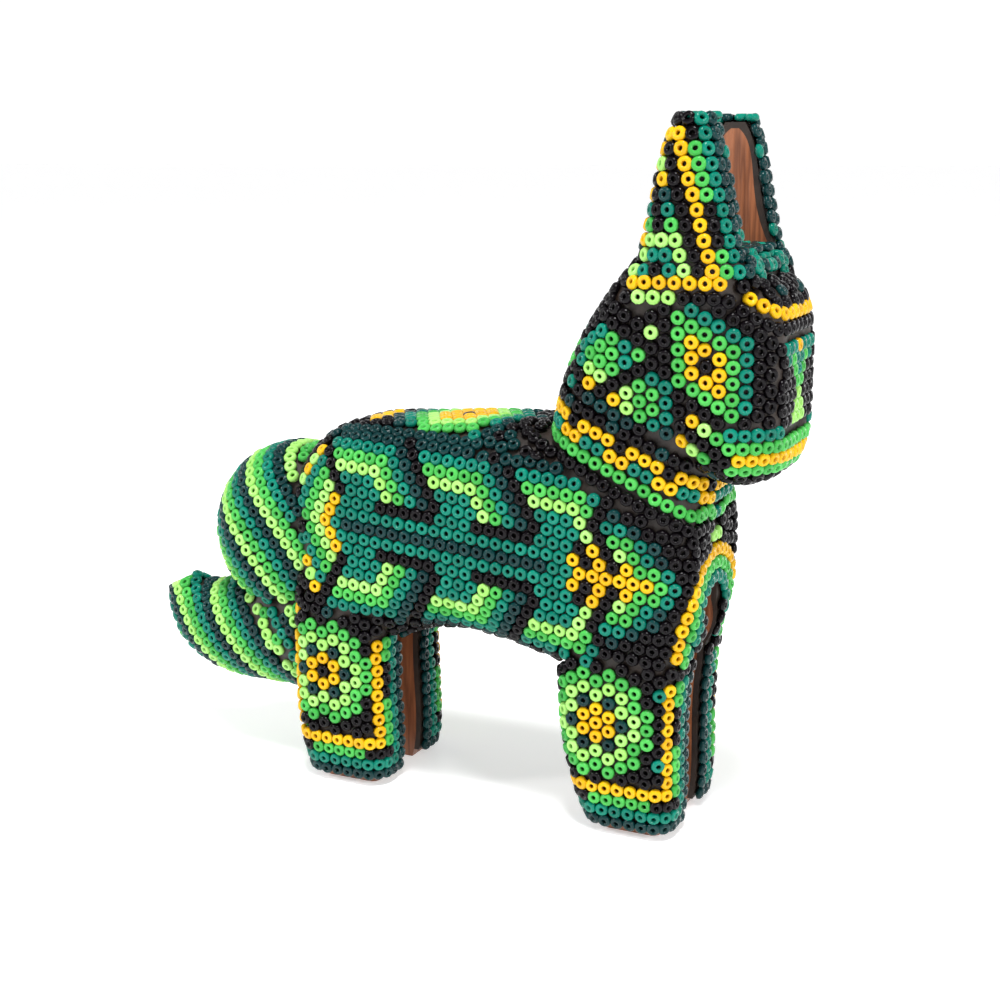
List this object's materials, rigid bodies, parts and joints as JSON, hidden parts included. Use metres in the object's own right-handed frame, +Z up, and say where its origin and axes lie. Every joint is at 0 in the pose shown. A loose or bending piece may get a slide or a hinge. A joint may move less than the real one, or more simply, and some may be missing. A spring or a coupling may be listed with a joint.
{
  "type": "huichol beaded figure",
  "caption": "Standing dog-like animal carved in wood, with upright ears and a curled tail, coated in wax and covered all over in small glass beads set in coloured patterns.",
  "frame": {"origin": "on the ground, under the middle of the figure's bounding box", "axes": "+X towards the nose, +Y to the animal's left, +Z up"},
  "size_m": [0.115, 0.0302, 0.1092],
  "materials": {
    "wood": "satin lacquer",
    "wax": "dull",
    "bead_black": "glossy opaque glass",
    "bead_dark_teal": "glossy lustred glass",
    "bead_teal": "glossy lustred glass",
    "bead_green": "glossy opaque glass",
    "bead_light_green": "glossy opaque glass",
    "bead_yellow": "glossy opaque glass"
  },
  "bodies": {
    "root": {"body_core": "wood", "tail_core": "wood", "tail_dowel": "wood", "wax_head": "wax", "wax_torso": "wax", "wax_tail": "wax", "wax_ear_left": "wax", "wax_ear_right": "wax", "wax_front_leg_left": "wax", "wax_front_leg_right": "wax", "wax_rear_leg_left": "wax", "wax_rear_leg_right": "wax", "beads_head": "bead_black", "beads_ear_left": "bead_black", "beads_ear_right": "bead_black", "beads_collar": "bead_yellow", "beads_chest": "bead_black", "beads_rump": "bead_yellow", "beads_flank_left": "bead_teal", "beads_flank_right": "bead_teal", "beads_back": "bead_black", "beads_belly": "bead_dark_teal", "beads_front_leg_left": "bead_green", "beads_front_leg_right": "bead_green", "beads_rear_leg_left": "bead_green", "beads_rear_leg_right": "bead_green", "beads_tail": "bead_light_green"}
  },
  "joints": []
}
